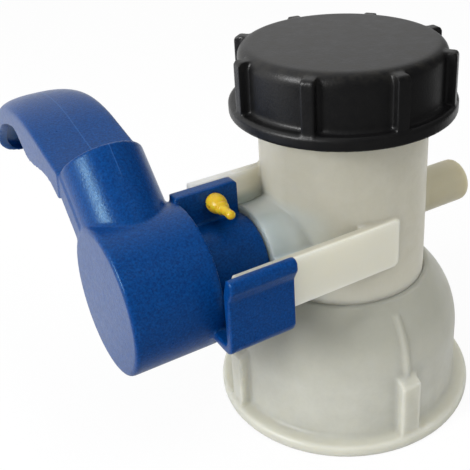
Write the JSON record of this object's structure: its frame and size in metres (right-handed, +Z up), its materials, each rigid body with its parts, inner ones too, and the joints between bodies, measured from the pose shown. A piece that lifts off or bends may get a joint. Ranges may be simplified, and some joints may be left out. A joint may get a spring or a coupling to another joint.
{
  "type": "ibc butterfly valve",
  "caption": "Quarter-turn butterfly valve in natural plastic with a swivel coupling nut below, a ribbed screw cap above and a curled side lever with a hook and a locking pin.",
  "frame": {"origin": "on the flow tube's axis, in the plane of the coupling nut's bottom rim", "axes": "+Z up along the flow tube, inlet below and capped outlet above; the stem lies along X with the handle on the -X side; the lever points along +Y when closed"},
  "size_m": [0.1443, 0.1648, 0.1347],
  "materials": {
    "valve_body": "natural polyethylene, milky, satin moulded skin",
    "coupling_nut": "natural polyethylene, milky, satin moulded skin",
    "coupling_gasket": "black rubber",
    "outlet_cap": "black polyethylene, finely grained",
    "cap_gasket": "black rubber",
    "handle": "blue polyethylene, satin, lightly grained",
    "locking_pin": "yellow polyethylene",
    "stem": "white engineering plastic",
    "disc": "natural polyethylene",
    "disc_seal": "black rubber",
    "disc_pin": "stainless steel",
    "stem_oring_outer": "black rubber",
    "stem_oring_inner": "black rubber",
    "gland_bush": "white engineering plastic",
    "pivot_bush": "white engineering plastic"
  },
  "bodies": {
    "valve_body": {"valve_body": "valve_body", "coupling_gasket": "coupling_gasket", "gland_bush": "gland_bush", "pivot_bush": "pivot_bush"},
    "coupling_nut": {"coupling_nut": "coupling_nut"},
    "cap_gasket": {"cap_gasket": "cap_gasket"},
    "outlet_cap": {"outlet_cap": "outlet_cap"},
    "handle": {"handle": "handle", "stem": "stem", "disc": "disc", "disc_seal": "disc_seal", "disc_pin": "disc_pin", "stem_oring_outer": "stem_oring_outer", "stem_oring_inner": "stem_oring_inner"},
    "locking_pin": {"locking_pin": "locking_pin"}
  },
  "joints": [
    {"name": "handle_turn", "type": "hinge", "parent": "valve_body", "child": "handle", "pos_m": [0, 0, 0.0683], "axis": [1, 0, 0], "range_deg": [0, 90]},
    {"name": "nut_swivel", "type": "hinge", "parent": "valve_body", "child": "coupling_nut", "pos_m": [0, 0, 0.02], "axis": [0, 0, 1], "continuous": true},
    {"name": "cap_lift", "type": "slide", "parent": "valve_body", "child": "cap_gasket", "axis": [0, 0, 1], "range_m": [0, 0.012]},
    {"name": "cap_turn", "type": "hinge", "parent": "cap_gasket", "child": "outlet_cap", "pos_m": [0, 0, 0.12], "axis": [0, 0, 1], "range_deg": [0, 720]},
    {"name": "pin_slide", "type": "slide", "parent": "handle", "child": "locking_pin", "axis": [0, -1, 0], "range_m": [0, 0.004]}
  ],
  "couplings": [
    {"joint": "cap_lift", "follows": "cap_turn", "m_per_rad": 0.00095493}
  ]
}
